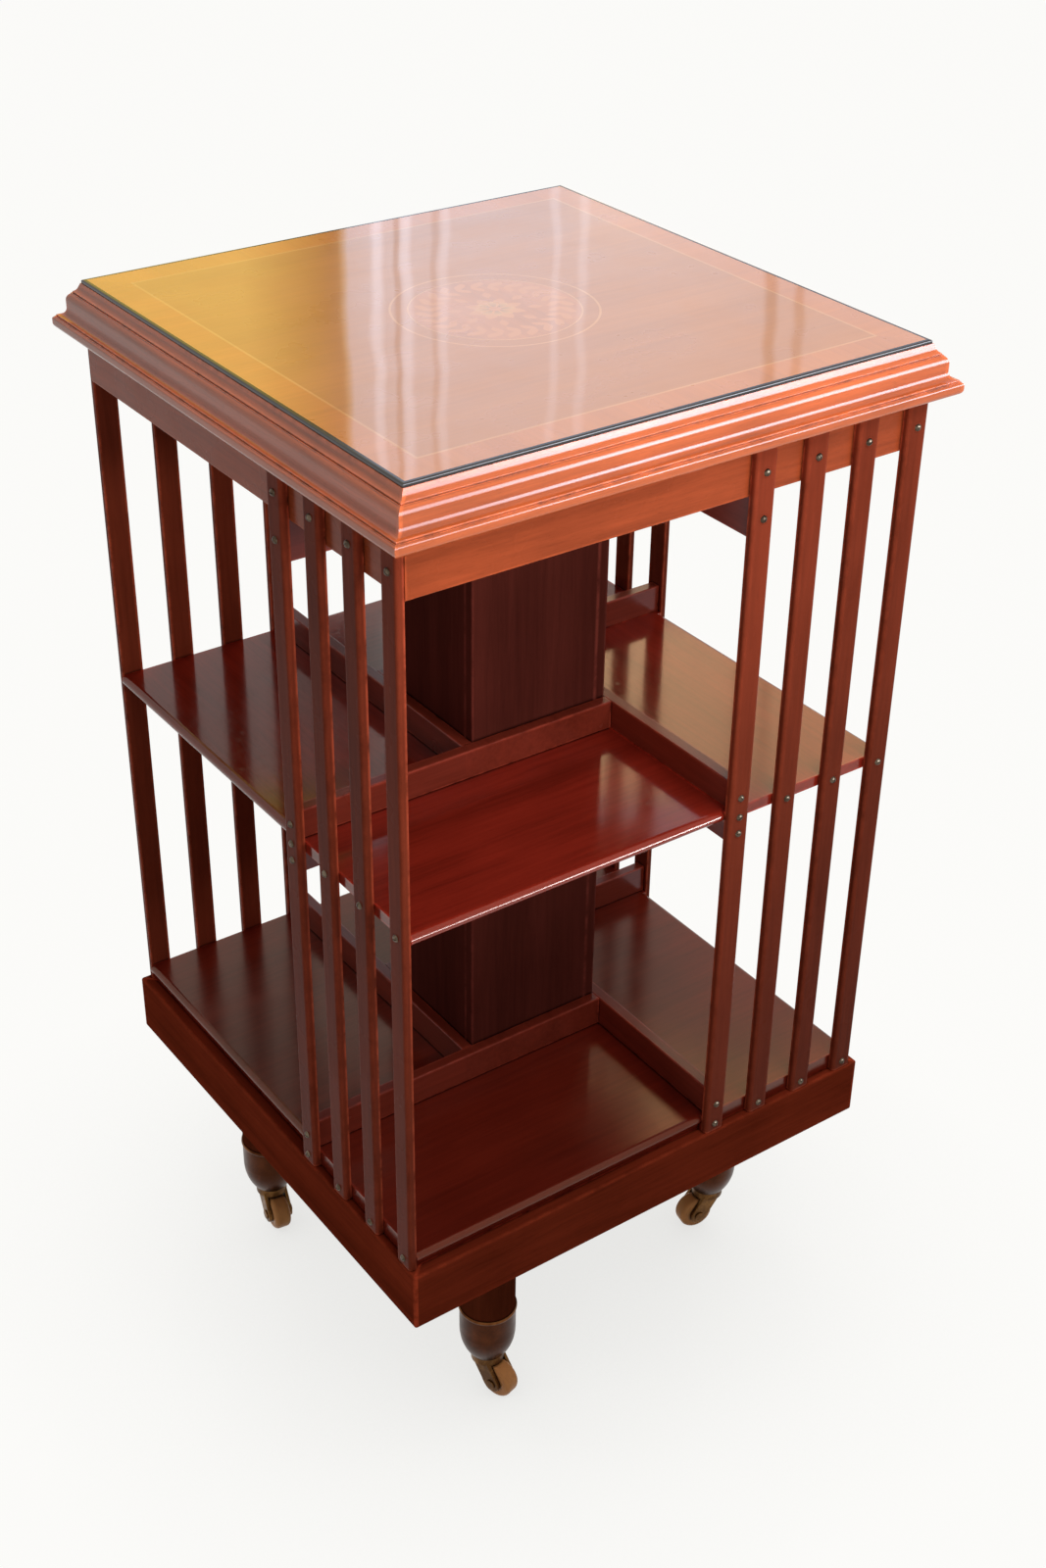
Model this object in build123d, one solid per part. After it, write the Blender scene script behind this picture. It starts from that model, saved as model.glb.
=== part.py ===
from build123d import *
import math
import os

# Square revolving bookcase: a slatted two-tier case that turns on a fixed post over a castor stand.
# Millimetres, +Z up, origin on the floor under the axis of revolution, case faces square to X and Y.
# The case repeats by quarter turns, so its pieces are drawn for the front (-Y) and turned.

# Castors, from the floor up
wheel_diameter = 31.0
wheel_width = 15.0
wheel_edge_round = 4.0
wheel_crown_gap = 1.2
wheel_side_gap = 0.6
axle_diameter = 5.0
axle_head_overhang = 1.75
axle_head_thickness = 1.3
fork_trail = 13.0
fork_crown_thickness = 7.3
fork_crown_diameter = 27.0
fork_cheek_thickness = 3.0
fork_cheek_width = 15.0
fork_stem_diameter = 8.0
fork_stem_length = 21.0
fork_round = 0.8
swivel_gap = 0.3
running_gap = 0.05
fork_angles = {"front": 285.0, "right": 170.0, "back": 100.0, "left": 262.0}

# Castor cups and turned feet
cup_height = 53.2
cup_neck_diameter = 28.0
cup_body_height = 26.0
cup_rim_height = 3.6
cup_rim_overhang = 0.2
cup_socket_depth = 29.0
cup_wall = 5.0
cup_reveal = 0.5
foot_height = 47.8
foot_diameter = 45.0
foot_bead_height = 5.0
foot_bead_groove = 1.0
foot_tenon_diameter = 20.0
foot_tenon_length = 20.0
foot_circle_radius = 196.0
stand_turn = 9.8
fit_gap = 0.05

# Crossed beams, post and flange
beam_width = 46.0
beam_height = 31.0
lap_gap = 0.2
beam_to_plinth_gap = 4.2
post_diameter = 28.0
post_shoulder = 5.0
post_journal_length = 34.0
flange_rim_width = 32.0
flange_thickness = 6.0
flange_hub_wall = 10.0
flange_hub_height = 32.0
flange_screw_head_diameter = 10.0
flange_screw_head_height = 3.4
flange_screw_shank_diameter = 5.0
flange_screw_length = 26.0

# Case heights, from the plinth up
plinth_height = 52.0
bottom_board_thickness = 14.0
lower_tier_height = 279.0
shelf_thickness = 9.0
upper_tier_height = 247.5
frieze_height = 58.5
top_thickness = 18.0

# Case plan
case_side = 424.0
column_side = 122.0
column_panel_thickness = 9.0
plinth_overhang = 7.0
plinth_thickness = 20.0
plinth_round = 2.0
frieze_thickness = 12.0
soffit_thickness = 9.0
bottom_nose_setback = 3.0
arris = 0.8

# Divider rails
rail_thickness = 9.5
top_rail_height = 32.0
mid_rail_upper_height = 23.5
mid_rail_lower_height = 19.0
bottom_rail_height = 26.0

# Slats and their round-head screws
slats_per_face = 4
slat_width = 18.0
slat_thickness = 6.0
slat_round = 2.6
slat_corner_inset = 1.0
frieze_screw_rise = 17.5
screw_head_diameter = 5.6
screw_head_height = 1.9
screw_shank_diameter = 3.0
screw_grip = 9.0
screw_tip = 3.0
screw_slot_width = 0.7
screw_slot_depth = 0.8
screw_turn_step = 37.0

# Pivot hardware
socket_rim_width = 19.0
socket_plate_thickness = 4.0
socket_boss_wall = 9.0
socket_bore_depth = 27.0
socket_end_thickness = 3.0
socket_screw_inset = 9.0
socket_screw_grip = 7.0
thrust_gap = 0.1
bush_wall = 6.0
bush_flange_overhang = 9.0
bush_flange_thickness = 3.0

# Top inlay
veneer_thickness = 0.7
edge_string_width = 3.0
edge_string_height = 2.6
edge_string_overhang = 0.4
edge_string_round = 1.2
crossband_width = 23.0
box_string_width = 1.8
medallion_radius = 60.0
medallion_inner_string = 1.4
medallion_border = 11.0
medallion_outer_string = 1.6

# Cornice members, from the case face outwards and down
cornice_ledge = 1.0
upper_slope_out = 1.6
upper_slope_drop = 3.6
upper_cove_out = 2.6
upper_cove_drop = 2.6
fillet_arris = 0.4
fillet_drop = 0.9
quirk_out = 0.9
quirk_drop = 0.5
ovolo_out = 3.1
ovolo_drop = 5.4
band_drop = 5.5
lower_cove_out = 5.6
lower_cove_drop = 5.6
lip_nose_out = 1.5
lip_nose_drop = 2.0
lip_face_drop = 2.6
lip_under_out = 3.6
lip_under_drop = 4.2

# Levels worked out from the heights
wheel_radius = wheel_diameter / 2
crown_under = wheel_diameter + wheel_crown_gap
crown_top = crown_under + fork_crown_thickness
cup_bottom = crown_top + swivel_gap
cup_top = cup_bottom + cup_height
cup_floor = cup_top - cup_socket_depth
beam_under = cup_top + foot_height
beam_top = beam_under + beam_height
plinth_under = beam_top + beam_to_plinth_gap
plinth_top = plinth_under + plinth_height
bottom_shelf_top = plinth_top + bottom_board_thickness
mid_shelf_under = bottom_shelf_top + lower_tier_height
mid_shelf_top = mid_shelf_under + shelf_thickness
frieze_under = mid_shelf_top + upper_tier_height
frieze_top = frieze_under + frieze_height
top_surface = frieze_top + top_thickness

# Plan positions worked out from the sides
case_half = case_side / 2
column_half = column_side / 2
plinth_half = case_half + plinth_overhang
soffit_half = case_half - frieze_thickness
rail_line = column_half + rail_thickness / 2
last_slat = case_half - slat_corner_inset - slat_width / 2
slat_pitch = (last_slat - rail_line) / (slats_per_face - 1)
slat_lines = [rail_line + i * slat_pitch for i in range(slats_per_face)]
opening_end = rail_line - slat_width / 2
face_names = ("front", "right", "back", "left")
foot_angles = {name: 225.0 + 90.0 * k + stand_turn for k, name in enumerate(face_names)}

# Radii worked out from the hardware's sizes
post_radius = post_diameter / 2
journal_radius = post_radius - post_shoulder
flange_hub_radius = post_radius + flange_hub_wall
flange_radius = flange_hub_radius + flange_rim_width
bush_radius = post_radius + bush_wall
socket_boss_radius = journal_radius + socket_boss_wall
socket_plate_half = socket_boss_radius + socket_rim_width
foot_radius = foot_diameter / 2
cup_radius = foot_radius + cup_reveal
foot_pin_radius = cup_radius - cup_wall

# An arc through a quarter turn rises by this share of its chord
quarter_bulge = (math.sqrt(2) - 1) / 2

parts = {}


def block(x0, x1, y0, y1, z0, z1):
    """Rectangular board between two corners."""
    centre = Pos((x0 + x1) / 2, (y0 + y1) / 2, (z0 + z1) / 2)
    return centre * Box(x1 - x0, y1 - y0, z1 - z0)


def disc(radius, z0, z1):
    """Upright round bar on the axis of revolution."""
    return Pos(0, 0, (z0 + z1) / 2) * Cylinder(radius, z1 - z0)


def turned(outline):
    """Solid of revolution about Z from closed edges drawn as (radius, height)."""
    return revolve(Plane.XZ * make_face(outline), Axis.Z)


def quarter_arc(start, end):
    """Arc from start to end that bulges to the left of the way it runs."""
    dx = end[0] - start[0]
    dz = end[1] - start[1]
    middle = ((start[0] + end[0]) / 2 - dz * quarter_bulge, (start[1] + end[1]) / 2 + dx * quarter_bulge)
    return ThreePointArc(start, middle, end)


def group(shapes):
    """Several separate solids as one node."""
    return Compound([solid for shape in shapes for solid in shape.solids()])


def face_turn(k):
    """Turn from the front face to face number k."""
    return Rot(0, 0, 90.0 * k)


def add_faces(name, piece):
    """One node for each face of the case, made from its front piece."""
    for k, face in enumerate(face_names):
        parts[f"{name}_{face}"] = face_turn(k) * piece


def ring(piece):
    """A front piece turned to all four faces."""
    return group([face_turn(k) * piece for k in range(4)])


def front_wedge():
    """Front quarter of the plan, between the two diagonals, for mitred pieces."""
    reach = case_side
    plan = make_face(Polyline((0, 0), (reach, -reach), (-reach, -reach), close=True))
    return extrude(plan, top_surface + reach)


def mitred_strip(outer, width, z0, z1):
    """Front strip of a square frame, mitred at both ends."""
    inner = outer - width
    corners = [(-outer, -outer), (outer, -outer), (inner, -inner), (-inner, -inner)]
    return Pos(0, 0, z0) * extrude(make_face(Polyline(*corners, close=True)), z1 - z0)


def screw(head_diameter, head_height, shank_diameter, length):
    """Round-head slotted wood screw, its head resting on z = 0 and its shank pointing down."""
    head = head_diameter / 2
    shank = shank_diameter / 2
    crown = ThreePointArc((head, 0), (head * math.sqrt(0.5), head_height * math.sqrt(0.5)), (0, head_height))
    body = Polyline((0, head_height), (0, -length), (shank, screw_tip - length), (shank, 0), (head, 0))
    slot = Pos(0, 0, head_height) * Box(head_diameter, screw_slot_width, 2 * screw_slot_depth)
    return turned(body + crown) - slot


def screw_hole(shank_diameter, length):
    """Hole for a screw's shank, from the head's seat down."""
    return disc(shank_diameter / 2 + fit_gap, -length, 0)


def slat_screw_points():
    """Where the front slats are screwed, as (x, z)."""
    points = []
    for x in slat_lines:
        points.append((x, frieze_under + frieze_screw_rise))
        points.append((x, mid_shelf_under + shelf_thickness / 2))
        points.append((x, plinth_top + bottom_board_thickness / 2))
    points.append((rail_line, frieze_under - top_rail_height / 2))
    points.append((rail_line, mid_shelf_top + mid_rail_upper_height / 2))
    points.append((rail_line, mid_shelf_under - mid_rail_lower_height / 2))
    points.append((rail_line, bottom_shelf_top + bottom_rail_height / 2))
    return points


slat_screw_length = slat_thickness + screw_grip
slat_screw_places = [
    face_turn(k) * Pos(x, -case_half - slat_thickness, z) * Rot(90, 0, 0) * Rot(0, 0, screw_turn_step * i)
    for k in range(4)
    for i, (x, z) in enumerate(slat_screw_points())
]
slat_screw_holes = group([p * screw_hole(screw_shank_diameter, slat_screw_length) for p in slat_screw_places])

socket_screw_length = socket_plate_thickness + socket_screw_grip
socket_screw_reach = socket_plate_half - socket_screw_inset
socket_screw_places = [
    Pos(x, y, frieze_under - socket_plate_thickness) * Rot(180, 0, 0)
    for x in (-socket_screw_reach, socket_screw_reach)
    for y in (-socket_screw_reach, socket_screw_reach)
]
socket_screw_holes = group(
    [p * screw_hole(screw_shank_diameter, socket_screw_length) for p in socket_screw_places]
)

flange_screw_places = [
    Rot(0, 0, angle) * Pos(flange_hub_radius + flange_rim_width / 2, 0, beam_top + flange_thickness)
    for angle in foot_angles.values()
]
flange_screw_holes = group(
    [p * screw_hole(flange_screw_shank_diameter, flange_screw_length) for p in flange_screw_places]
)


def nosing_waste(z0, z1):
    """Waste that leaves a rounded nose along the open part of the front edge."""
    radius = (z1 - z0) / 2
    length = opening_end + case_half
    bar = block(-case_half, opening_end, -case_half, radius - case_half, z0, z1)
    middle = Pos(opening_end - length / 2, radius - case_half, z0 + radius)
    return bar - middle * Rot(0, 90, 0) * Cylinder(radius, length)


def castor_fork(axle_centre, inner, outer):
    """Brass fork: crown with its swivel stem, and two cheeks that reach back to the axle."""
    crown = disc(fork_crown_diameter / 2, crown_under, crown_top)
    crown = fillet(crown.edges().filter_by(GeomType.CIRCLE), fork_round)
    eye = Pos(fork_trail, wheel_radius) * Circle(fork_cheek_width / 2)
    root = Pos(0, (crown_under + crown_top) / 2) * Rectangle(fork_cheek_width, fork_crown_thickness / 2)
    cheek = extrude(Plane.XZ * make_hull(eye.edges() + root.edges()), fork_cheek_thickness)
    right_cheek = Pos(0, -inner, 0) * fillet(cheek.faces().sort_by(Axis.Y)[0].edges(), fork_round)
    left_cheek = Pos(0, outer, 0) * fillet(cheek.faces().sort_by(Axis.Y)[-1].edges(), fork_round)
    stem = disc(fork_stem_diameter / 2, crown_top, crown_top + fork_stem_length)
    fork = crown + stem + right_cheek + left_cheek
    return fork - axle_centre * Cylinder(axle_diameter / 2 + fit_gap, 3 * outer)


def castor_axle(outer):
    """Axle pin with a rivet head on each end, along Z."""
    axle = Cylinder(axle_diameter / 2, 2 * outer)
    head = Cylinder(axle_diameter / 2 + axle_head_overhang, axle_head_thickness)
    for side in (-1, 1):
        rim = head.edges().filter_by(GeomType.CIRCLE).sort_by(Axis.Z)[0 if side < 0 else -1]
        axle += Pos(0, 0, side * (outer + axle_head_thickness / 2)) * fillet(rim, axle_head_thickness / 2)
    return axle


def castor_wheel():
    """Wheel with rounded shoulders and a plain bore, along Z."""
    half = wheel_width / 2
    bore = axle_diameter / 2 + running_gap
    corner = min(wheel_edge_round, 0.9 * half)
    shoulder = wheel_radius - corner
    flat = half - corner
    return turned(
        Polyline((wheel_radius, -flat), (wheel_radius, flat))
        + quarter_arc((shoulder, half), (wheel_radius, flat))
        + Polyline((shoulder, half), (bore, half), (bore, -half), (shoulder, -half))
        + quarter_arc((wheel_radius, -flat), (shoulder, -half))
    )


def make_castors():
    """Four castors, each turned to its resting angle."""
    inner = wheel_width / 2 + wheel_side_gap
    outer = inner + fork_cheek_thickness
    axle_centre = Pos(fork_trail, 0, wheel_radius) * Rot(90, 0, 0)
    fork = castor_fork(axle_centre, inner, outer)
    axle = axle_centre * castor_axle(outer)
    wheel = axle_centre * castor_wheel()
    for name, angle in foot_angles.items():
        spot = Rot(0, 0, angle) * Pos(foot_circle_radius, 0, 0) * Rot(0, 0, fork_angles[name] - angle)
        parts[f"castor_fork_{name}"] = spot * fork
        parts[f"castor_axle_{name}"] = spot * axle
        parts[f"castor_wheel_{name}"] = spot * wheel


def castor_cup():
    """Brass cup with a beaded rim, tapering to the swivel."""
    rim = cup_radius + cup_rim_overhang
    rim_under = cup_top - cup_rim_height
    shoulder = cup_top - cup_body_height
    neck = cup_neck_diameter / 2
    stem = fork_stem_diameter / 2 + running_gap
    socket = foot_pin_radius + fit_gap
    return turned(
        quarter_arc((rim, cup_top), (rim, rim_under))
        + Polyline((rim, rim_under), (cup_radius, rim_under), (cup_radius, shoulder))
        + TangentArc((cup_radius, shoulder), (neck, cup_bottom), tangent=(0, -1))
        + Polyline((neck, cup_bottom), (stem, cup_bottom), (stem, cup_floor), (socket, cup_floor))
        + Polyline((socket, cup_floor), (socket, cup_top), (rim, cup_top))
    )


def turned_foot():
    """Turned foot with a bead under the beam, a pin for the cup and a tenon for the beam."""
    groove = foot_radius - foot_bead_groove
    bead_under = beam_under - foot_bead_height
    groove_under = bead_under - foot_bead_groove
    tenon = foot_tenon_diameter / 2
    tenon_top = beam_under + foot_tenon_length
    lower = Polyline(
        (0, cup_floor),
        (foot_pin_radius, cup_floor),
        (foot_pin_radius, cup_top),
        (foot_radius, cup_top),
        (foot_radius, groove_under),
        (groove, bead_under),
    )
    bead = quarter_arc((foot_radius, beam_under), (groove, bead_under))
    upper = Polyline(
        (foot_radius, beam_under), (tenon, beam_under), (tenon, tenon_top), (0, tenon_top), (0, cup_floor)
    )
    return turned(lower + bead + upper)


def make_feet():
    """Turned feet, each tenoned into a beam above and pinned into a castor cup below."""
    foot = turned_foot()
    cup = castor_cup()
    spots = {name: Rot(0, 0, angle) * Pos(foot_circle_radius, 0, 0) for name, angle in foot_angles.items()}
    for name, spot in spots.items():
        parts[f"foot_{name}"] = spot * foot
    parts["castor_cups"] = group([spot * cup for spot in spots.values()])


def make_stand():
    """Crossed beams halved together, the post, and the flange that holds it."""
    length = 2 * foot_circle_radius + beam_width
    beam = Pos(0, 0, beam_under) * extrude(SlotOverall(length, beam_width), beam_height)
    mortise = disc(foot_tenon_diameter / 2 + fit_gap, beam_under, beam_under + foot_tenon_length + fit_gap)
    for side in (-1, 1):
        beam -= Pos(side * foot_circle_radius, 0, 0) * mortise
    lap = beam_width / 2 + lap_gap
    middle = beam_under + beam_height / 2
    lower = beam - block(-lap, lap, -beam_width, beam_width, middle, beam_top)
    upper = beam - block(-lap, lap, -beam_width, beam_width, beam_under, middle)
    parts["stand_beam_lower"] = Rot(0, 0, foot_angles["front"]) * lower - flange_screw_holes
    parts["stand_beam_upper"] = Rot(0, 0, foot_angles["right"]) * upper - flange_screw_holes

    hub_top = beam_top + flange_hub_height
    flange = disc(flange_radius, beam_top, beam_top + flange_thickness)
    flange += disc(flange_hub_radius, beam_top, hub_top)
    flange = chamfer(flange.edges().filter_by(GeomType.CIRCLE).sort_by(Axis.Z)[-1], 2 * arris)
    flange -= disc(post_radius + fit_gap, beam_top, hub_top)
    parts["post_flange"] = flange - flange_screw_holes
    fixing = screw(
        flange_screw_head_diameter, flange_screw_head_height, flange_screw_shank_diameter, flange_screw_length
    )
    parts["flange_screws"] = group([place * fixing for place in flange_screw_places])

    journal_top = frieze_under - socket_end_thickness - thrust_gap
    journal_under = journal_top - post_journal_length
    post = disc(post_radius, beam_top, journal_under)
    post += disc(journal_radius, journal_under, journal_top)
    parts["centre_post"] = chamfer(post.edges().filter_by(GeomType.CIRCLE).sort_by(Axis.Z)[-1], arris)


def make_pivot():
    """Socket that hangs the case on the post, and the bush that guides it below."""
    half = socket_plate_half
    bore_top = frieze_under - socket_end_thickness
    boss_under = bore_top - socket_bore_depth
    socket = block(-half, half, -half, half, frieze_under - socket_plate_thickness, frieze_under)
    socket += disc(socket_boss_radius, boss_under, frieze_under)
    socket -= disc(journal_radius + running_gap, boss_under, bore_top)
    parts["pivot_socket"] = socket - socket_screw_holes
    fixing = screw(screw_head_diameter, screw_head_height, screw_shank_diameter, socket_screw_length)
    parts["socket_screws"] = group([place * fixing for place in socket_screw_places])

    bush_top = bottom_shelf_top + bush_flange_thickness
    bush = disc(bush_radius, plinth_top, bottom_shelf_top)
    bush += disc(bush_radius + bush_flange_overhang, bottom_shelf_top, bush_top)
    parts["guide_bush"] = bush - disc(post_radius + running_gap, plinth_top, bush_top)


def make_plinth():
    """Plinth frame of four mitred rails with softened edges."""
    inner = plinth_half - plinth_thickness
    frame = block(-plinth_half, plinth_half, -plinth_half, plinth_half, plinth_under, plinth_top)
    frame = fillet(frame.edges(), min(plinth_round, 0.4 * plinth_thickness))
    frame -= block(-inner, inner, -inner, inner, plinth_under, plinth_top)
    add_faces("plinth", frame & front_wedge())


def make_shelves():
    """Bottom board in one piece and a middle shelf of four boards round the column."""
    nose_under = bottom_shelf_top - min(shelf_thickness, bottom_board_thickness)
    bottom = block(-case_half, case_half, -case_half, case_half, plinth_top, bottom_shelf_top)
    waste = nosing_waste(nose_under, bottom_shelf_top)
    if nose_under > plinth_top:
        setback = bottom_nose_setback - case_half
        waste += block(-case_half, opening_end, -case_half, setback, plinth_top, nose_under)
    for k in range(4):
        bottom -= face_turn(k) * waste
    bottom -= disc(bush_radius + fit_gap, plinth_top, bottom_shelf_top)
    parts["bottom_shelf"] = bottom - slat_screw_holes

    board = block(-case_half, column_half, -case_half, -column_half, mid_shelf_under, mid_shelf_top)
    board -= nosing_waste(mid_shelf_under, mid_shelf_top)
    for k, face in enumerate(face_names):
        parts[f"mid_shelf_{face}"] = face_turn(k) * board - slat_screw_holes


def make_column():
    """Hollow square column of four butted panels between bottom shelf and soffit."""
    inner = column_half - column_panel_thickness
    panel = block(-column_half, inner, -column_half, -inner, bottom_shelf_top, frieze_under)
    corner = panel.edges().filter_by(Axis.Z).sort_by_distance((-column_half, -column_half, frieze_under))[0]
    parts["column_panels"] = ring(fillet(corner, arris))


def make_rails():
    """Rails that divide the compartments above and below each shelf, from slat to next rail."""
    levels = {
        "top_rails": (frieze_under - top_rail_height, frieze_under),
        "mid_rails_upper": (mid_shelf_top, mid_shelf_top + mid_rail_upper_height),
        "mid_rails_lower": (mid_shelf_under - mid_rail_lower_height, mid_shelf_under),
        "bottom_rails": (bottom_shelf_top, bottom_shelf_top + bottom_rail_height),
    }
    for name, (z0, z1) in levels.items():
        bar = block(column_half, column_half + rail_thickness, -case_half, column_half, z0, z1)
        bar = fillet(bar.edges().filter_by(Axis.Y), arris)
        parts[name] = group([face_turn(k) * bar - slat_screw_holes for k in range(4)])


def make_frieze():
    """Frieze boards butted at the corners and the soffit board between them."""
    board = block(-case_half, soffit_half, -case_half, -soffit_half, frieze_under, frieze_top)
    lower_edge = board.edges().filter_by(Axis.X).sort_by_distance((0, -case_half, frieze_under))[0]
    board = fillet(lower_edge, arris)
    for k, face in enumerate(face_names):
        parts[f"frieze_{face}"] = face_turn(k) * board - slat_screw_holes
    soffit_top = frieze_under + soffit_thickness
    soffit = block(-soffit_half, soffit_half, -soffit_half, soffit_half, frieze_under, soffit_top)
    parts["soffit_board"] = soffit - socket_screw_holes


def moulding_member(kind, start, end, lean=0.0):
    """Line, hollow or round between two points; lean is the angle from upright at its steeper end."""
    if kind == "line":
        return Line(start, end)
    dy = abs(end[0] - start[0])
    dz = abs(end[1] - start[1])
    bulge = math.tan((math.atan2(dy, dz) - lean) / 2) / 2
    side = -1 if kind == "cove" else 1
    middle_y = (start[0] + end[0]) / 2 + side * bulge * (end[1] - start[1])
    middle_z = (start[1] + end[1]) / 2 - side * bulge * (end[0] - start[0])
    return ThreePointArc(start, (middle_y, middle_z), end)


def cornice_profile():
    """Edges of the cornice section as (y, z), from under the edge string to the lip, and its underside."""
    fillet_and_quirk = (
        ("ovolo", fillet_arris, fillet_arris),
        ("line", 0, fillet_drop),
        ("line", quirk_out, 0),
        ("line", 0, quirk_drop),
    )
    members = (
        ("line", cornice_ledge, 0),
        ("line", upper_slope_out, upper_slope_drop),
        ("cove", upper_cove_out, upper_cove_drop, math.atan2(upper_slope_out, upper_slope_drop)),
        *fillet_and_quirk,
        ("ovolo", ovolo_out, ovolo_drop),
        ("line", 0, band_drop),
        ("cove", lower_cove_out, lower_cove_drop),
        *fillet_and_quirk,
        ("ovolo", lip_nose_out, lip_nose_drop),
        ("line", 0, lip_face_drop),
        ("ovolo", -lip_under_out, lip_under_drop),
    )
    start = (-case_half, top_surface - edge_string_height)
    here = start
    outline = []
    for kind, out, drop, *lean in members:
        there = (here[0] - out, here[1] - drop)
        outline.append(moulding_member(kind, here, there, *lean))
        here = there
    outline.append(Polyline(here, (-case_half, here[1]), start))
    return [edge for piece in outline for edge in piece.edges()], here[1]


cornice_edges, cornice_under = cornice_profile()


def make_cornice():
    """Four mitred cornice mouldings round the top board and frieze."""
    section = Plane.YZ * make_face(cornice_edges)
    add_faces("cornice", extrude(section, case_side, both=True) & front_wedge())


def make_slats():
    """Upright slats planted on frieze and shelf edges, standing on the plinth."""
    outer = -case_half - slat_thickness
    slats = []
    for x in slat_lines:
        slat = block(x - slat_width / 2, x + slat_width / 2, outer, -case_half, plinth_top, cornice_under)
        front_arrises = slat.edges().filter_by(Axis.Z).sort_by(Axis.Y)[:2]
        slats.append(fillet(front_arrises, min(slat_round, 0.45 * slat_width, 0.9 * slat_thickness)))
    for k, face in enumerate(face_names):
        parts[f"slats_{face}"] = group([face_turn(k) * slat - slat_screw_holes for slat in slats])
    fixing = screw(screw_head_diameter, screw_head_height, screw_shank_diameter, slat_screw_length)
    parts["slat_screws"] = group([place * fixing for place in slat_screw_places])


def make_top():
    """Top board with veneer, crossbanding, stringing, round medallion and dark edge string."""
    string_outer = case_half + edge_string_overhang
    string_inner = string_outer - edge_string_width
    string_under = top_surface - edge_string_height
    veneer_under = top_surface - veneer_thickness
    board = block(-case_half, case_half, -case_half, case_half, frieze_top, string_under)
    board += block(-string_inner, string_inner, -string_inner, string_inner, string_under, veneer_under)
    parts["top_board"] = board

    string = block(-string_outer, string_outer, -string_outer, -string_inner, string_under, top_surface)
    nose = string.edges().filter_by(Axis.X).sort_by_distance((0, -string_outer, top_surface))[0]
    string = fillet(nose, min(edge_string_round, 0.9 * edge_string_height, 0.9 * edge_string_width))
    parts["edge_string"] = ring(string & front_wedge())

    box_outer = string_inner - crossband_width
    field_half = box_outer - box_string_width
    parts["crossbanding"] = ring(mitred_strip(string_inner, crossband_width, veneer_under, top_surface))
    box_string = ring(mitred_strip(box_outer, box_string_width, veneer_under, top_surface))

    inner_string = medallion_radius + medallion_inner_string
    border = inner_string + medallion_border
    outer_string = border + medallion_outer_string
    radii = (medallion_radius, inner_string, border, outer_string)
    discs = [disc(radius, veneer_under, top_surface) for radius in radii]
    field = block(-field_half, field_half, -field_half, field_half, veneer_under, top_surface) - discs[3]
    parts["veneer_field"] = group([field, discs[2] - discs[1]])
    parts["top_stringing"] = group([box_string, discs[3] - discs[2], discs[1] - discs[0]])
    parts["medallion_panel"] = discs[0]


make_castors()
make_feet()
make_stand()
make_pivot()
make_plinth()
make_shelves()
make_column()
make_rails()
make_frieze()
make_cornice()
make_slats()
make_top()

os.makedirs("parts", exist_ok=True)
for node, shape in parts.items():
    export_step(shape, f"parts/{node}.step")
print(len(parts), "nodes, height", round(top_surface, 2), "mm, slats end at", round(cornice_under, 2), "mm")
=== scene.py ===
import math

import bpy
from mathutils import Matrix, Vector

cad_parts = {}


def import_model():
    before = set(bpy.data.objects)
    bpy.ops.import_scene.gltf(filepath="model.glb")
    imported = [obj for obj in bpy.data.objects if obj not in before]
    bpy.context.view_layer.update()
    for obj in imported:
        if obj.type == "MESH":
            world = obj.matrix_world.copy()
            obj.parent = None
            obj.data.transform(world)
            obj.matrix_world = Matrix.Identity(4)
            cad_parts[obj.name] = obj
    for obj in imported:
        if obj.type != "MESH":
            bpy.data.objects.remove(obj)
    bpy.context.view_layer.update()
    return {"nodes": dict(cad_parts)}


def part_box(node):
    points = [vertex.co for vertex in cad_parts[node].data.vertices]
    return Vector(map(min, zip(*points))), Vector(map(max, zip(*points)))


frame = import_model()
nodes = frame["nodes"]


def colour(red, green, blue):
    """Linear colour with full alpha."""
    return (red, green, blue, 1.0)


# Photograph's camera, in metres and degrees
CAMERA_PLACE = Vector((-0.8139, -1.1651, 1.3589))
CAMERA_AZIMUTH = -35.923
CAMERA_ELEVATION = 32.195
CAMERA_ROLL = 0.898
CAMERA_LENS_MM = 48.62
CAMERA_SENSOR_MM = 36.0

# Sizes read from the frame
FACES = ("front", "right", "back", "left")
MEDALLION_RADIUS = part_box("medallion_panel")[1].x
RAIL_MARGIN = 0.012
RAIL_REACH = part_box("column_panels")[1].x + RAIL_MARGIN
RIM_DEPTH = 0.002
RIM_FADE = 0.001
RIM_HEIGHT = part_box("castor_cups")[1].z - RIM_DEPTH

# Wood figure: noise scales per metre, their shares of the tone, and spans stretched to full contrast
GRAIN_AXES = {"x": (1.0, 0.0, 0.0), "y": (0.0, 1.0, 0.0), "z": (0.0, 0.0, 1.0)}
GRAIN_STRETCH = 0.05
BAND_SCALE, BAND_SHARE = 26.0, 0.45
FIBRE_SCALE, FIBRE_SHARE = 240.0, 0.35
FIGURE_SCALE, FIGURE_SHARE = 13.0, 0.20
TONE_SPAN = (0.31, 0.69)
PORE_SCALE = 2600.0
PORE_SPAN = (0.60, 0.74)
PORE_DEPTH = 2.0
PORE_SHADE = 0.25
FIBRE_HEIGHT = 0.4
PLAIN_CONTRAST = 0.35
FACE_CONTRAST = 0.45

# Wood surface: height of the grain in metres, and roughness that varies over the surface
OPEN_GRAIN = 0.00003
FILLED_GRAIN = 0.00001
MIRROR_GRAIN = 0.000004
HAZE_SCALE = 22.0
HAZE_SPAN = (0.3, 0.7)
HAZE_LOW, HAZE_HIGH = 0.8, 1.25
COAT_ROUGHNESS = 0.03

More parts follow.
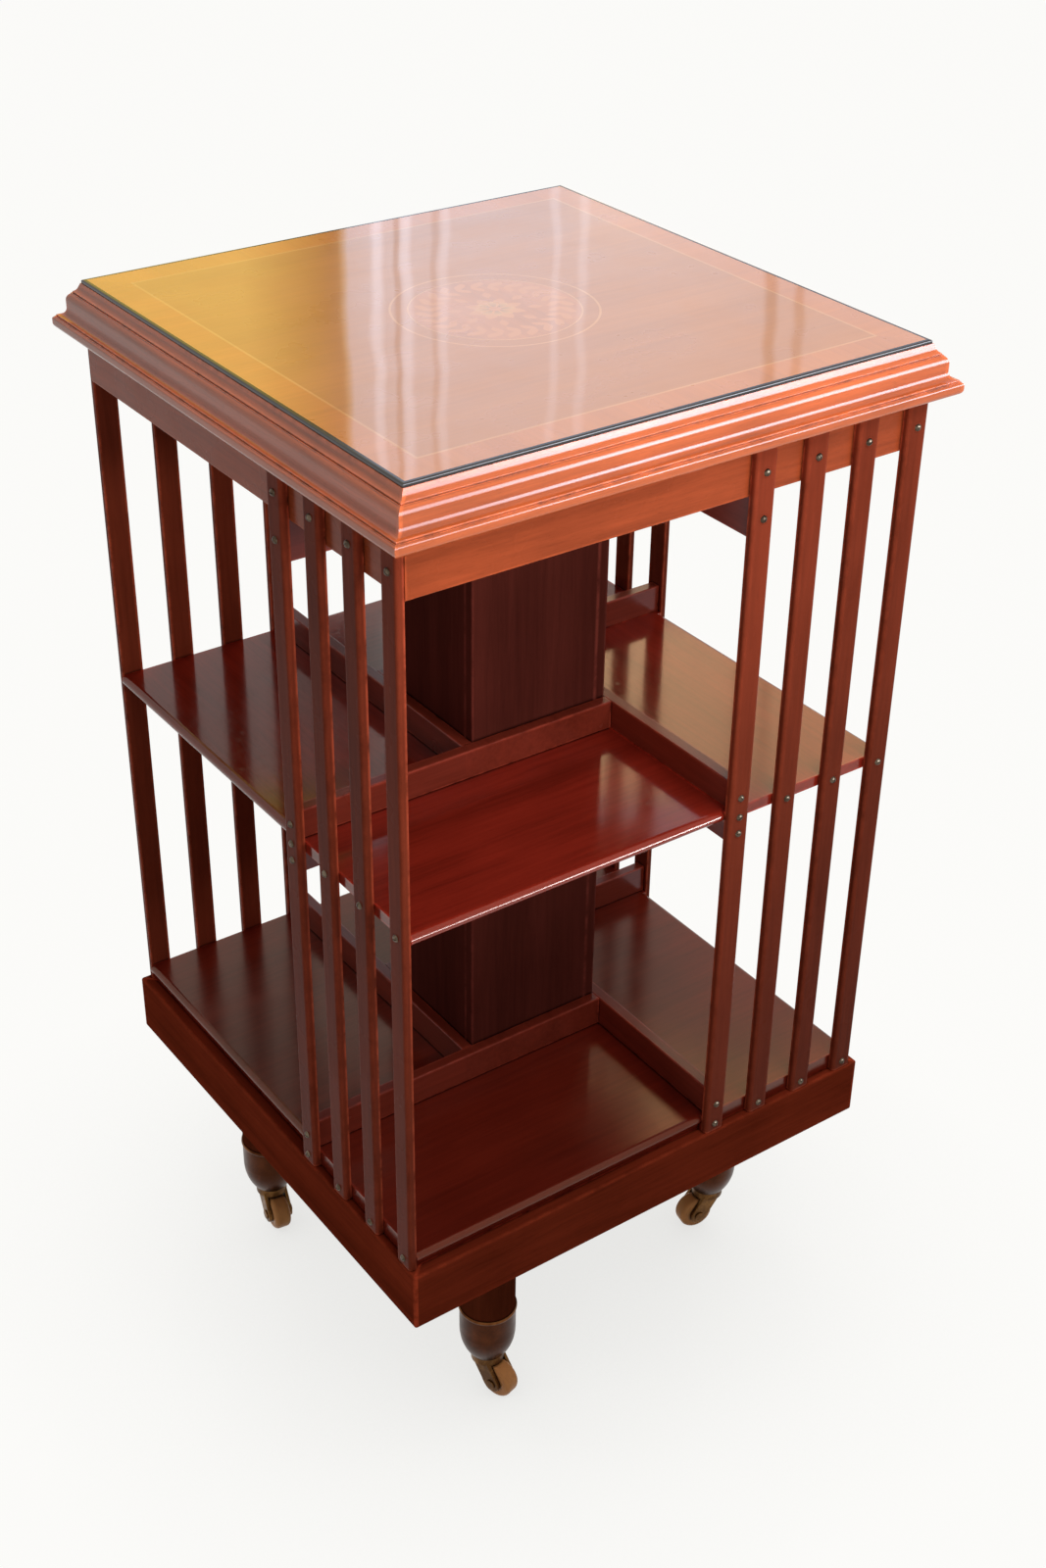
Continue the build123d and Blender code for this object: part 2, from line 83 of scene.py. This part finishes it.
# Painted shade darkening the recesses, and edges rubbed lighter as wear and as a painted highlight, in
# metres
SHADE_AND_WEAR_SAMPLES = 4
PAINTED_SHADE_DEPTH = 0.0025
PAINTED_SHADE_SPAN = (0.50, 0.95)
PAINTED_SHADE_FACTOR = 0.07
EDGE_REACH = 0.0022
EDGE_SPAN = (0.95, 0.68)
RUB_SCALE = 70.0
RUB_SPAN = (0.32, 0.58)

# Aged metal: fine specks on larger patches of wear
SPECK_RATIO = 9.0
SPECK_SHARE = 0.25
SPECK_HEIGHT = 0.00003
WEAR_SPAN = (0.55, 0.95)
# Patches of the cups' brighter rim, which is rubbed brass and a painted highlight
RIM_SPAN = (0.35, 0.65)
PATINA_ROUGHER, WEAR_SMOOTHER = 1.25, 0.8

# Marquetry: leaves with a soft edge, turned by whole steps and a half so that their number stays positive
LEAF_EDGE = 0.04
LEAF_STEPS = 100.5
MARQUETRY_CONTRAST = 0.14
EYE_SPAN = (0.075, 0.065)
SCORCH_SPAN = (0.08, 0.34)
SCORCH_DARK, SCORCH_LIGHT = 0.7, 1.3

# Floor with a painted shadow near the part, and surroundings
PALE = colour(0.99, 0.985, 0.965)
FLOOR_COLOUR = colour(0.74, 0.735, 0.72)
FLOOR_HALF = 12.0
FLOOR_GLOW = 0.97
FLOOR_PAINTED_SHADOW = 0.7
FLOOR_PAINTED_SHADOW_REACH = 0.3
FLOOR_PAINTED_SHADOW_SAMPLES = 8
WORLD_LIGHT = 0.14

# Screen behind the part, seen only in the polish of the top, in metres along and up
SCREEN_DISTANCE = 1.9
SCREEN_AZIMUTH = 36.0
SCREEN_HALF = 0.6
SCREEN_LOW, SCREEN_STEP, SCREEN_HIGH = 0.70, 0.91, 1.4
SCREEN_WARM = colour(1.30, 1.06, 0.30)
SCREEN_PALE = colour(1.08, 1.27, 1.55)
SCREEN_SUNLIT = colour(4.0, 2.9, 1.7)
SCREEN_DULL = colour(0.9, 0.9, 0.9)
SCREEN_SPLIT = -0.179
SCREEN_SPLIT_WIDTH = 0.01
WARM_SPAN = (SCREEN_SPLIT - 0.09, SCREEN_SPLIT - 0.005)
WARM_END = 0.12
PALE_SPAN = (-0.06, 0.30)
PALE_END = 0.74
SUNLIT_SPAN = (0.02, 0.06)
SWAY_SCALE = 20.0
SWAY_WIDTH = 0.012

# Folds of the screen: place, half width and gain in brightness
FOLD_CORE = 0.3
SCREEN_FOLDS = (
    (-0.144, 0.007, 0.55),
    (-0.126, 0.004, -0.45),
    (-0.117, 0.007, 0.48),
    (-0.092, 0.004, -0.30),
    (-0.083, 0.006, 0.32),
    (0.019, 0.006, 0.28),
    (0.045, 0.006, 0.28),
    (0.221, 0.008, -0.45),
    (0.247, 0.007, -0.36),
)

# Windows at the front right, seen only in the polish of some nodes, with a curtain and a shutter
WINDOW_LEFT, WINDOW_RIGHT = 0.0, 1.5
WINDOW_DEPTH = -1.22
WINDOW_COLOUR = colour(0.95, 1.08, 1.25)
WINDOW_RISE, WINDOW_FALL = 0.2, 0.4
CURTAIN_SPAN = (0.40, 0.65)
CURTAIN_LEVEL = 0.55
SHUTTER_SPAN = (0.72, 1.0)
SHUTTER_LEVEL = 0.85


class Shader:
    """A node tree built up call by call."""

    def __init__(self, name, owner=None):
        self.owner = owner or bpy.data.materials.new(name)
        self.owner.use_nodes = True
        self.tree = self.owner.node_tree
        self.tree.nodes.clear()

    def put(self, socket, value):
        """Link a socket, or set its constant."""
        if isinstance(value, bpy.types.NodeSocket):
            self.tree.links.new(value, socket)
        else:
            socket.default_value = value

    def add(self, kind, inputs=None, **settings):
        """New node with its settings and inputs, keyed by socket name or number."""
        node = self.tree.nodes.new("ShaderNode" + kind)
        for key, value in settings.items():
            setattr(node, key, value)
        for key, value in (inputs or {}).items():
            self.put(node.inputs[key], value)
        return node

    def math(self, operation, a, b=0.0):
        """One sum on two numbers."""
        return self.add("Math", {0: a, 1: b}, operation=operation).outputs[0]

    def vector(self, operation, a, b):
        """One sum on two vectors."""
        return self.add("VectorMath", {0: a, 1: b}, operation=operation).outputs

    def remap(self, value, low, high, new_low=0.0, new_high=1.0):
        """Value moved from one range to another, clamped."""
        inputs = {"Value": value, 1: low, 2: high, 3: new_low, 4: new_high}
        return self.add("MapRange", inputs, clamp=True).outputs[0]

    def noise(self, vector, scale, detail=3.0, roughness=0.55, distortion=0.0):
        """Fractal noise from 0 to 1."""
        inputs = {"Vector": vector, "Scale": scale, "Detail": detail, "Roughness": roughness}
        return self.add("TexNoise", {**inputs, "Distortion": distortion}).outputs[0]

    def blend(self, factor, a, b):
        """Two colours mixed by a factor."""
        node = self.add("Mix", data_type="RGBA")
        for number, value in ((0, factor), (6, a), (7, b)):
            self.put(node.inputs[number], value)
        return node.outputs[2]

    def choose(self, mask, a, b):
        """First vector where the mask is 0, second where it is 1."""
        node = self.add("Mix", data_type="VECTOR")
        for number, value in ((0, mask), (4, a), (5, b)):
            self.put(node.inputs[number], value)
        return node.outputs[1]

    def place(self):
        """Position in the part's own frame, in metres."""
        return self.add("TexCoord").outputs["Object"]

    def split(self, vector):
        """X, Y and Z of a vector."""
        return self.add("SeparateXYZ", {0: vector}).outputs

    def open_air(self, reach, samples, **settings):
        """How open the surface is within a reach, from 0 to 1."""
        return self.add("AmbientOcclusion", {"Distance": reach}, samples=samples, **settings).outputs["AO"]

    def bump(self, height, distance):
        """Surface normal bent by a height field."""
        return self.add("Bump", {"Height": height, "Distance": distance, "Strength": 1.0}).outputs[0]

    def glow(self, tint, strength):
        """Light given off by the surface."""
        return self.add("Emission", {"Color": tint, "Strength": strength}).outputs[0]

    def finish(self, surface, target="Material"):
        """Join the last shader to the output."""
        output = self.add("Output" + target)
        self.tree.links.new(surface, output.inputs["Surface"])
        return self.owner


def shade(base, factor):
    """Colour made lighter or darker."""
    return colour(*(min(channel * factor, 1.0) for channel in base[:3]))


def paint(material, *names):
    """Give CAD nodes this material."""
    for name in names:
        nodes[name].data.materials.clear()
        nodes[name].data.materials.append(material)


def each(prefix):
    """The four nodes of one name, face by face."""
    return [f"{prefix}_{face}" for face in FACES]


def along_grain(shader, place, grain):
    """Position drawn together along the grain, so that noise in it stretches into fibres."""
    direction = GRAIN_AXES[grain]
    reach = shader.vector("DOT_PRODUCT", place, direction)["Value"]
    shift = shader.math("MULTIPLY", reach, GRAIN_STRETCH - 1.0)
    pull = shader.add("VectorMath", {0: direction, "Scale": shift}, operation="SCALE").outputs[0]
    return shader.vector("ADD", place, pull)[0]


def grain_place(shader, grain):
    """Stretched position for one grain axis, or for pieces whose grain turns with the plan."""
    place = shader.place()
    if grain in GRAIN_AXES:
        return along_grain(shader, place, grain)
    x, y, _ = shader.split(place)
    x = shader.math("ABSOLUTE", x)
    y = shader.math("ABSOLUTE", y)
    if grain == "rails":
        mask = shader.math("LESS_THAN", x, RAIL_REACH)
    else:
        mask = shader.math("GREATER_THAN", x, y)
    first, second = ("y", "x") if grain == "across" else ("x", "y")
    return shader.choose(mask, along_grain(shader, place, first), along_grain(shader, place, second))


def wood_tone(shader, grain, base, contrast):
    """Wood colour with broad bands, fibres and short pores, painted shade in its recesses, and the height
    of its surface.
    """
    place = grain_place(shader, grain)
    band = shader.noise(place, BAND_SCALE, detail=2.0, roughness=0.5, distortion=0.4)
    fibre = shader.noise(place, FIBRE_SCALE, detail=4.0, roughness=0.62, distortion=0.6)
    figure = shader.noise(shader.place(), FIGURE_SCALE, detail=2.0, roughness=0.5)
    pores = shader.noise(place, PORE_SCALE, detail=2.0, roughness=0.5)
    pores = shader.remap(pores, *PORE_SPAN, 0.0, PORE_DEPTH * contrast * contrast)
    tone = shader.math("MULTIPLY", band, BAND_SHARE)
    tone = shader.math("ADD", tone, shader.math("MULTIPLY", fibre, FIBRE_SHARE))
    tone = shader.math("ADD", tone, shader.math("MULTIPLY", figure, FIGURE_SHARE))
    tone = shader.remap(tone, *TONE_SPAN)
    mixed = shader.blend(tone, shade(base, 1.0 - contrast), shade(base, 1.0 + contrast))
    mixed = shader.blend(pores, mixed, shade(base, PORE_SHADE))
    # Painted shade: the colour is darkened where the surface is closed in, in recesses and between parts
    painted_shade = shader.remap(shader.open_air(PAINTED_SHADE_DEPTH, SHADE_AND_WEAR_SAMPLES), *PAINTED_SHADE_SPAN)
    mixed = shader.blend(painted_shade, shade(base, PAINTED_SHADE_FACTOR), mixed)
    height = shader.math("SUBTRACT", shader.math("MULTIPLY", fibre, FIBRE_HEIGHT), pores)
    return mixed, height


def edge_wear_and_highlight(shader, tone, worn):
    """Polish rubbed through here and there along the sharp edges, which also lightens them as a painted
    highlight along the arrises.
    """
    # Lighter along convex edges: partly rubbed polish, partly a painted highlight along the arrises
    inner = shader.open_air(EDGE_REACH, SHADE_AND_WEAR_SAMPLES, inside=True, only_local=True)
    near = shader.remap(inner, *EDGE_SPAN)
    patchy = shader.noise(shader.place(), RUB_SCALE, detail=4.0, roughness=0.65)
    patchy = shader.remap(patchy, *RUB_SPAN)
    return shader.blend(shader.math("MULTIPLY", near, patchy), tone, worn)


def polish(roughness, specular, tint=(1.0, 0.8, 0.7), relief=OPEN_GRAIN, rub=0.0, coat=0.0):
    """A wood finish: roughness, grain height, how light the rubbed edges are (wear and a painted
    highlight), and constant sockets.
    """
    return {
        "roughness": roughness,
        "relief": relief,
        "rub": rub,
        "sockets": {
            "Specular IOR Level": specular,
            "Specular Tint": colour(*tint),
            "Coat Weight": coat,
            "Coat Roughness": COAT_ROUGHNESS,
        },
    }


def wood_surface(shader, tone, height, finish):
    """Polished surface with a slightly uneven gloss."""
    haze = shader.noise(shader.place(), HAZE_SCALE, detail=3.0, roughness=0.6)
    roughness = finish["roughness"]
    inputs = {
        "Base Color": tone,
        "Roughness": shader.remap(haze, *HAZE_SPAN, HAZE_LOW * roughness, HAZE_HIGH * roughness),
        "Normal": shader.bump(height, finish["relief"]),
        **finish["sockets"],
    }
    return shader.finish(shader.add("BsdfPrincipled", inputs).outputs[0])


def wood(name, grain, base, finish, contrast=PLAIN_CONTRAST):
    """Polished wood of one tone, with its grain along one direction."""
    shader = Shader(name)
    tone, height = wood_tone(shader, grain, base, contrast)
    if finish["rub"]:
        tone = edge_wear_and_highlight(shader, tone, shade(base, finish["rub"]))
    return wood_surface(shader, tone, height, finish)


def metal(name, base, worn, roughness, patina_scale, rim_wear_and_highlight=None):
    """Aged metal: wear through a dark patina, and for the cups a brighter rim that is both rubbed brass and
    a painted highlight.
    """
    shader = Shader(name)
    place = shader.place()
    patches = shader.noise(place, patina_scale, detail=4.0, roughness=0.6, distortion=0.3)
    specks = shader.noise(place, patina_scale * SPECK_RATIO, detail=2.0, roughness=0.5)
    wear = shader.math("ADD", patches, shader.math("MULTIPLY", specks, SPECK_SHARE))
    wear = shader.remap(wear, *WEAR_SPAN)
    tone = shader.blend(wear, base, worn)
    if rim_wear_and_highlight:
        # Brighter band at the top of each cup: rubbed brass, and a painted highlight along the rim
        above = shader.remap(shader.split(place)[2], RIM_HEIGHT - RIM_FADE, RIM_HEIGHT)
        rubbed = shader.math("MULTIPLY", above, shader.remap(patches, *RIM_SPAN))
        tone = shader.blend(rubbed, tone, rim_wear_and_highlight)
    inputs = {
        "Base Color": tone,
        "Metallic": 1.0,
        "Roughness": shader.remap(wear, 0.0, 1.0, roughness * PATINA_ROUGHER, roughness * WEAR_SMOOTHER),
        "Normal": shader.bump(specks, SPECK_HEIGHT),
    }
    return shader.finish(shader.add("BsdfPrincipled", inputs).outputs[0])


def leaves(shader, radius, angle, count, inner, outer, width, turn=0.0, slant=0.0):
    """Mask of a ring of pointed leaves: count of them between two radii."""
    along = shader.remap(radius, inner, outer)
    bulge = shader.math("SINE", shader.math("MULTIPLY", along, math.pi))
    half = shader.math("MULTIPLY", bulge, width)
    swept = shader.math("ADD", angle, shader.math("MULTIPLY", along, slant))
    step = shader.math("ADD", shader.math("MULTIPLY", swept, count / math.tau), turn + LEAF_STEPS)
    offset = shader.math("ABSOLUTE", shader.math("SUBTRACT", shader.math("FRACT", step), 0.5))
    return shader.remap(shader.math("SUBTRACT", half, offset), 0.0, LEAF_EDGE)


def medallion_wood(base, leaf, heart, finish):
    """Round panel with a marquetry rosette, a ring of husks and a wreath of leaves."""
    shader = Shader("medallion_veneer")
    tone, height = wood_tone(shader, "y", base, MARQUETRY_CONTRAST)
    x, y, _ = shader.split(shader.place())
    across = shader.math("ADD", shader.math("MULTIPLY", x, x), shader.math("MULTIPLY", y, y))
    radius = shader.math("DIVIDE", shader.math("SQRT", across), MEDALLION_RADIUS)
    angle = shader.math("ARCTAN2", y, x)
    plan = (shader, radius, angle)
    wreath_out = leaves(*plan, count=24, inner=0.74, outer=0.95, width=0.36, slant=0.16)
    wreath_in = leaves(*plan, count=24, inner=0.60, outer=0.80, width=0.34, turn=0.5, slant=-0.16)
    husks = leaves(*plan, count=8, inner=0.36, outer=0.58, width=0.16, turn=0.5)
    outer_petals = leaves(*plan, count=8, inner=0.05, outer=0.37, width=0.42)
    inner_petals = leaves(*plan, count=8, inner=0.04, outer=0.25, width=0.40, turn=0.5)
    eye = shader.remap(radius, *EYE_SPAN)
    foliage = shader.math("MAXIMUM", shader.math("MAXIMUM", wreath_out, wreath_in), husks)
    tone = shader.blend(foliage, tone, leaf)
    scorch = shader.remap(radius, *SCORCH_SPAN)
    outer_tone = shader.blend(scorch, heart, leaf)
    inner_tone = shader.blend(scorch, shade(heart, SCORCH_DARK), shade(heart, SCORCH_LIGHT))
    tone = shader.blend(outer_petals, tone, outer_tone)
    tone = shader.blend(inner_petals, tone, inner_tone)
    tone = shader.blend(eye, tone, leaf)
    return wood_surface(shader, tone, height, finish)


def dress_case():
    """Mahogany of the case: cornice and frieze lighter, plinth, shelves and column darker; the darker tones
    are partly painted shade on these low and inner pieces.
    """
    moulding = polish(roughness=0.08, specular=0.5, tint=(1.0, 0.96, 0.98), relief=MIRROR_GRAIN, rub=1.5)
    bloomed = polish(roughness=0.26, specular=0.20, tint=(1.0, 0.3, 0.2), relief=FILLED_GRAIN, rub=1.6)
    upright = polish(roughness=0.26, specular=0.0, relief=FILLED_GRAIN, rub=2.4)
    slat = polish(roughness=0.26, specular=0.02, tint=(1.0, 0.9, 0.9), relief=FILLED_GRAIN, rub=2.6)
    rail = polish(roughness=0.22, specular=0.30, tint=(0.9, 0.9, 1.0), relief=FILLED_GRAIN, rub=2.2)
    board = polish(roughness=0.11, specular=0.5, tint=(1.0, 0.8, 0.65), rub=2.0)
    low_board = polish(roughness=0.20, specular=0.48, tint=(1.0, 0.73, 0.50), rub=2.0)
    # The darker bases of the plinth, bottom shelf and column are partly painted shade, for less light
    # reaching these low and inner pieces
    tones = {
        "cornice": (colour(0.60, 0.130, 0.034), moulding),
        "frieze": (colour(0.365, 0.070, 0.024), bloomed),
        "plinth": (colour(0.27, 0.038, 0.015), upright),
        "mid_shelf": (colour(0.31, 0.024, 0.012), board),
    }
    for part, (base, finish) in tones.items():
        for grain, faces in (("x", ("front", "back")), ("y", ("left", "right"))):
            material = wood(f"{part}_{grain}", grain, base, finish, FACE_CONTRAST)
            paint(material, *(f"{part}_{face}" for face in faces))
    paint(wood("bottom_shelf", "x", colour(0.19, 0.019, 0.009), low_board), "bottom_shelf")
    paint(wood("slat_wood", "z", colour(0.225, 0.039, 0.018), slat), *each("slats"))
    paint(wood("column_wood", "z", colour(0.105, 0.022, 0.016), upright), "column_panels")
    rail_wood = wood("rail_wood", "rails", colour(0.235, 0.034, 0.018), rail)
    paint(rail_wood, "top_rails", "mid_rails_upper", "mid_rails_lower", "bottom_rails")
    paint(wood("carcase_wood", "x", colour(0.16, 0.045, 0.02), upright), "top_board", "soffit_board")


def dress_top():
    """Veneers of the top under a clear high polish."""
    glossy = polish(roughness=0.30, specular=0.25, relief=MIRROR_GRAIN, coat=1.0)
    paint(wood("top_veneer", "x", colour(0.62, 0.235, 0.050), glossy, contrast=0.11), "veneer_field")
    paint(wood("satinwood", "across", colour(0.70, 0.24, 0.044), glossy, contrast=0.14), "crossbanding")
    paint(wood("boxwood", "x", colour(0.76, 0.34, 0.10), glossy, contrast=0.12), "top_stringing")
    ground = colour(0.66, 0.245, 0.060)
    leaf = colour(0.76, 0.30, 0.078)
    heart = colour(0.80, 0.36, 0.09)
    paint(medallion_wood(ground, leaf, heart, glossy), "medallion_panel")
    black = polish(roughness=0.2, specular=0.6, tint=(1.0, 1.0, 1.0), relief=MIRROR_GRAIN)
    paint(wood("dyed_string", "along", colour(0.024, 0.014, 0.011), black), "edge_string")


def dress_stand():
    """Stand wood, castors, pivot and fixings."""
    dull = polish(roughness=0.34, specular=0.0)
    dark = wood("stand_wood", "z", colour(0.16, 0.032, 0.013), dull)
    paint(dark, "stand_beam_lower", "stand_beam_upper", *each("foot"))
    gold = colour(0.165, 0.061, 0.019)
    patina = colour(0.046, 0.013, 0.0045)
    # Base colour, worn colour, roughness and scale of the patina of each metal
    metals = {
        "fork_brass": (colour(0.085, 0.036, 0.011), colour(0.26, 0.125, 0.038), 0.36, 70.0),
        "bush_brass": (colour(0.45, 0.30, 0.11), gold, 0.3, 60.0),
        "screw_metal": (colour(0.065, 0.045, 0.03), colour(0.22, 0.17, 0.12), 0.3, 300.0),
        "fixing_steel": (colour(0.28, 0.28, 0.29), colour(0.5, 0.5, 0.5), 0.35, 120.0),
        "pivot_iron": (colour(0.05, 0.05, 0.052), colour(0.16, 0.15, 0.15), 0.5, 45.0),
    }
    users = {
        "fork_brass": [*each("castor_fork"), *each("castor_axle")],
        "bush_brass": ["guide_bush"],
        "screw_metal": ["slat_screws"],
        "fixing_steel": ["flange_screws", "socket_screws"],
        "pivot_iron": ["centre_post", "post_flange", "pivot_socket"],
    }
    cup = metal("cup_brass", patina, shade(patina, 2.0), roughness=0.30, patina_scale=60.0, rim_wear_and_highlight=gold)
    paint(cup, "castor_cups")
    for name, (base, rubbed, roughness, patina_scale) in metals.items():
        paint(metal(name, base, rubbed, roughness, patina_scale), *users[name])
    worn = polish(roughness=0.38, specular=0.2)
    wheel = wood("castor_wheel", "z", colour(0.93, 0.39, 0.135), worn, contrast=0.2)
    paint(wheel, *each("castor_wheel"))


def plate(name, corners):
    """Flat four-cornered stage piece."""
    mesh = bpy.data.meshes.new(name)
    mesh.from_pydata([tuple(corner) for corner in corners], [], [(0, 1, 2, 3)])
    piece = bpy.data.objects.new(name, mesh)
    bpy.context.scene.collection.objects.link(piece)
    return piece


def seen_rays(shader):
    """1 for rays of the camera and of reflections and clear surfaces, 0 for rays that carry light."""
    path = shader.add("LightPath").outputs
    seen = shader.math("MAXIMUM", path["Is Camera Ray"], path["Is Glossy Ray"])
    return shader.math("MAXIMUM", seen, path["Is Transmission Ray"])


def floor():
    """Pale floor that runs out past the picture; its matt share keeps the part's shadow, and its glow is
    dimmed near the part as a painted shadow.
    """
    half = FLOOR_HALF
    piece = plate("floor", [(-half, -half, 0.0), (half, -half, 0.0), (half, half, 0.0), (-half, half, 0.0)])
    shader = Shader("floor_pale")
    matt = shader.add("BsdfDiffuse", {"Color": FLOOR_COLOUR}).outputs[0]
    # Painted shadow: the glow is dimmed where the part closes in the air above the floor
    open_air = shader.open_air(FLOOR_PAINTED_SHADOW_REACH, FLOOR_PAINTED_SHADOW_SAMPLES)
    glow = shader.glow(PALE, shader.remap(open_air, 0.0, 1.0, FLOOR_PAINTED_SHADOW, 1.0))
    share = shader.math("MULTIPLY", seen_rays(shader), FLOOR_GLOW)
    mixed = shader.add("MixShader", {0: share, 1: matt, 2: glow}).outputs[0]
    piece.data.materials.append(shader.finish(mixed))


def world():
    """Pale surroundings, full strength where they are seen and softer as light."""
    studio = bpy.data.worlds.new("studio")
    bpy.context.scene.world = studio
    shader = Shader("studio", studio)
    strength = shader.remap(seen_rays(shader), 0.0, 1.0, WORLD_LIGHT, 1.0)
    surface = shader.add("Background", {"Color": PALE, "Strength": strength}).outputs[0]
    shader.finish(surface, "World")


def show_in_gloss_only(piece, material):
    """A panel that polished surfaces mirror, and that neither lights the part nor is seen itself."""
    piece.data.materials.append(material)
    piece.visible_camera = False
    piece.visible_diffuse = False
    piece.visible_shadow = False


def mirrored_screen():
    """Pale screen behind the part that the polished top mirrors: warm on its left, with upright folds."""
    turn = math.radians(SCREEN_AZIMUTH)
    away = Vector((math.sin(turn), math.cos(turn), 0.0))
    side = Vector((math.cos(turn), -math.sin(turn), 0.0))
    middle = Vector((CAMERA_PLACE.x, CAMERA_PLACE.y, 0.0)) + SCREEN_DISTANCE * away
    corners = []
    for lateral, height in ((-1, SCREEN_LOW), (1, SCREEN_LOW), (1, SCREEN_HIGH), (-1, SCREEN_HIGH)):
        corners.append(middle + lateral * SCREEN_HALF * side + Vector((0.0, 0.0, height)))
    piece = plate("screen", corners)
    shader = Shader("screen")
    place = shader.place()
    across = shader.vector("DOT_PRODUCT", shader.vector("SUBTRACT", place, middle)[0], side)["Value"]
    sway = shader.math("SUBTRACT", shader.noise(place, SWAY_SCALE, detail=1.0), 0.5)
    across = shader.math("ADD", across, shader.math("MULTIPLY", sway, SWAY_WIDTH))
    pale = shader.remap(across, *PALE_SPAN, 1.0, PALE_END)
    for centre, half, gain in SCREEN_FOLDS:
        gap = shader.math("ABSOLUTE", shader.math("SUBTRACT", across, centre))
        pale = shader.math("ADD", shader.remap(gap, half, FOLD_CORE * half, 0.0, gain), pale)
    warm = shader.remap(across, *WARM_SPAN, 1.0, WARM_END)
    beyond = shader.remap(across, SCREEN_SPLIT, SCREEN_SPLIT + SCREEN_SPLIT_WIDTH)
    level = shader.add("Mix", {0: beyond, 2: warm, 3: pale}).outputs[0]
    upper_tint = shader.blend(beyond, SCREEN_WARM, SCREEN_PALE)
    lower_tint = shader.blend(shader.remap(across, *SUNLIT_SPAN), SCREEN_DULL, SCREEN_SUNLIT)
    lower = shader.math("LESS_THAN", shader.split(place)[2], SCREEN_STEP)
    tint = shader.blend(lower, upper_tint, lower_tint)
    show_in_gloss_only(piece, shader.finish(shader.glow(tint, level)))


def mirrored_window(name, low, high, strength, receivers):
    """Bright panel at the front right that draws the highlights along the rounded edges of some nodes."""
    corners = []
    for x, z in ((WINDOW_LEFT, low), (WINDOW_RIGHT, low), (WINDOW_RIGHT, high), (WINDOW_LEFT, high)):
        corners.append((x, WINDOW_DEPTH, z))
    piece = plate(name, corners)
    shader = Shader(name)
    across, _, height = shader.split(shader.place())
    rise = shader.remap(height, low, low + WINDOW_RISE * (high - low))
    fall = shader.remap(height, high, high - WINDOW_FALL * (high - low))
    curtain = shader.remap(across, *CURTAIN_SPAN, CURTAIN_LEVEL, 1.0)
    shutter = shader.remap(across, *SHUTTER_SPAN, 1.0, SHUTTER_LEVEL)
    level = shader.math("MULTIPLY", shader.math("MULTIPLY", rise, fall), strength)
    level = shader.math("MULTIPLY", level, shader.math("MULTIPLY", curtain, shutter))
    clear = shader.add("BsdfTransparent").outputs[0]
    both = shader.add("AddShader", {0: shader.glow(WINDOW_COLOUR, level), 1: clear}).outputs[0]
    show_in_gloss_only(piece, shader.finish(both))
    lit = bpy.data.collections.new(f"{name}_receivers")
    for receiver in receivers:
        lit.objects.link(nodes[receiver])
    piece.light_linking.receiver_collection = lit


def mirrored_windows():
    """A tall window for the mouldings and screws, and a low one for the edge of the middle shelf."""
    mouldings = [*each("cornice"), "edge_string", "slat_screws"]
    mirrored_window("window", low=0.66, high=1.60, strength=15.0, receivers=mouldings)
    mirrored_window("low_window", low=0.12, high=0.52, strength=36.0, receivers=each("mid_shelf"))


def softbox(name, place, target, size, radiance, tint=(1.0, 1.0, 1.0)):
    """Soft panel lamp of a given brightness, aimed at a point."""
    lamp = bpy.data.lights.new(name, "AREA")
    lamp.shape = "RECTANGLE"
    lamp.size, lamp.size_y = size
    lamp.energy = radiance * math.pi * size[0] * size[1]
    lamp.color = tint
    holder = bpy.data.objects.new(name, lamp)
    holder.location = place
    holder.rotation_euler = (Vector(target) - Vector(place)).to_track_quat("-Z", "Y").to_euler()
    holder.visible_camera = False
    holder.visible_glossy = False
    bpy.context.scene.collection.objects.link(holder)


def lamps():
    """Key from the front right, strip in front aimed up at the cornice, top light and a low left fill."""
    softbox(
        "key",
        place=(0.30, -0.75, 1.50),
        target=(0.30, -0.10, 0.80),
        size=(0.80, 0.30),
        radiance=5.6,
        tint=(1.0, 0.95, 0.94),
    )
    softbox(
        "front",
        place=(-0.10, -0.85, 0.87),
        target=(-0.10, -0.08, 1.51),
        size=(0.70, 0.2),
        radiance=12.8,
        tint=(1.0, 0.95, 0.90),
    )
    softbox(
        "overhead",
        place=(0.30, 0.25, 2.3),
        target=(0.0, 0.0, 0.85),
        size=(0.8, 0.8),
        radiance=7.1,
        tint=(1.0, 0.96, 0.93),
    )
    softbox("fill", place=(-1.7, -0.5, 0.14), target=(0.0, 0.0, 0.35), size=(1.0, 0.2), radiance=2.7)


def camera():
    """Camera at the photograph's place and angle."""
    azimuth = math.radians(CAMERA_AZIMUTH)
    elevation = math.radians(CAMERA_ELEVATION)
    roll = math.radians(CAMERA_ROLL)
    level = math.cos(elevation)
    back = Vector((math.sin(azimuth) * level, -math.cos(azimuth) * level, math.sin(elevation)))
    level_right = Vector((0.0, 0.0, 1.0)).cross(back).normalized()
    level_up = back.cross(level_right)
    right = math.cos(roll) * level_right + math.sin(roll) * level_up
    up = math.cos(roll) * level_up - math.sin(roll) * level_right
    data = bpy.data.cameras.new("camera")
    data.lens = CAMERA_LENS_MM
    data.sensor_width = CAMERA_SENSOR_MM
    data.sensor_fit = "AUTO"
    holder = bpy.data.objects.new("camera", data)
    holder.matrix_world = Matrix.Translation(CAMERA_PLACE) @ Matrix((right, up, back)).transposed().to_4x4()
    bpy.context.scene.collection.objects.link(holder)
    bpy.context.scene.camera = holder


dress_case()
dress_top()
dress_stand()
floor()
world()
mirrored_screen()
mirrored_windows()
lamps()
camera()
bpy.context.scene.view_settings.view_transform = "Standard"
